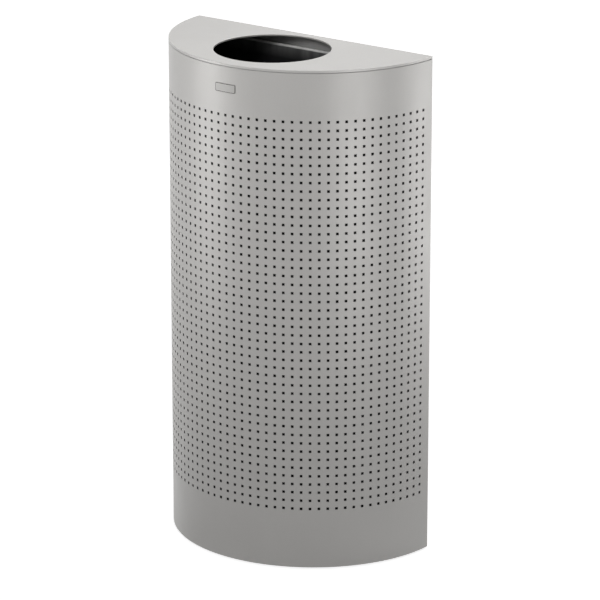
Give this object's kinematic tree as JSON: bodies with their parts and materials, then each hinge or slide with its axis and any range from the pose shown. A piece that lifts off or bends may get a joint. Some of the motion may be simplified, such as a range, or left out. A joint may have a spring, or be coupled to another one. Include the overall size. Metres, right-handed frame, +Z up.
{
  "type": "half-round trash can",
  "caption": "Half-round waste bin with a perforated curved steel front, a flat back, a lift-off lid with a round opening and a removable plastic liner.",
  "frame": {"origin": "on the floor, under the middle of the bin's box", "axes": "+Z up, -Y towards the curved front, +X to the right as seen from the front"},
  "size_m": [0.4572, 0.2296, 0.8128],
  "materials": {
    "shell_steel": "satin silver",
    "inner_steel": "satin silver",
    "lid_steel": "satin silver",
    "plate_steel": "satin",
    "liner_plastic": "moulded, slightly glossy",
    "foot_rubber": "matte"
  },
  "bodies": {
    "shell": {"perforated_front": "shell_steel", "back_panel": "shell_steel", "top_ledge": "inner_steel", "base_pan": "inner_steel", "front_plate": "plate_steel", "foot_front_left": "foot_rubber", "foot_front_right": "foot_rubber", "foot_back_left": "foot_rubber", "foot_back_right": "foot_rubber"},
    "liner": {"liner": "liner_plastic"},
    "lid": {"lid": "lid_steel"}
  },
  "joints": [
    {"name": "liner_lift", "type": "slide", "parent": "shell", "child": "liner", "axis": [0, 0, 1], "range_m": [0, 0.82]},
    {"name": "lid_lift", "type": "slide", "parent": "liner", "child": "lid", "axis": [0, 0, 1], "range_m": [0, 0.15]}
  ]
}
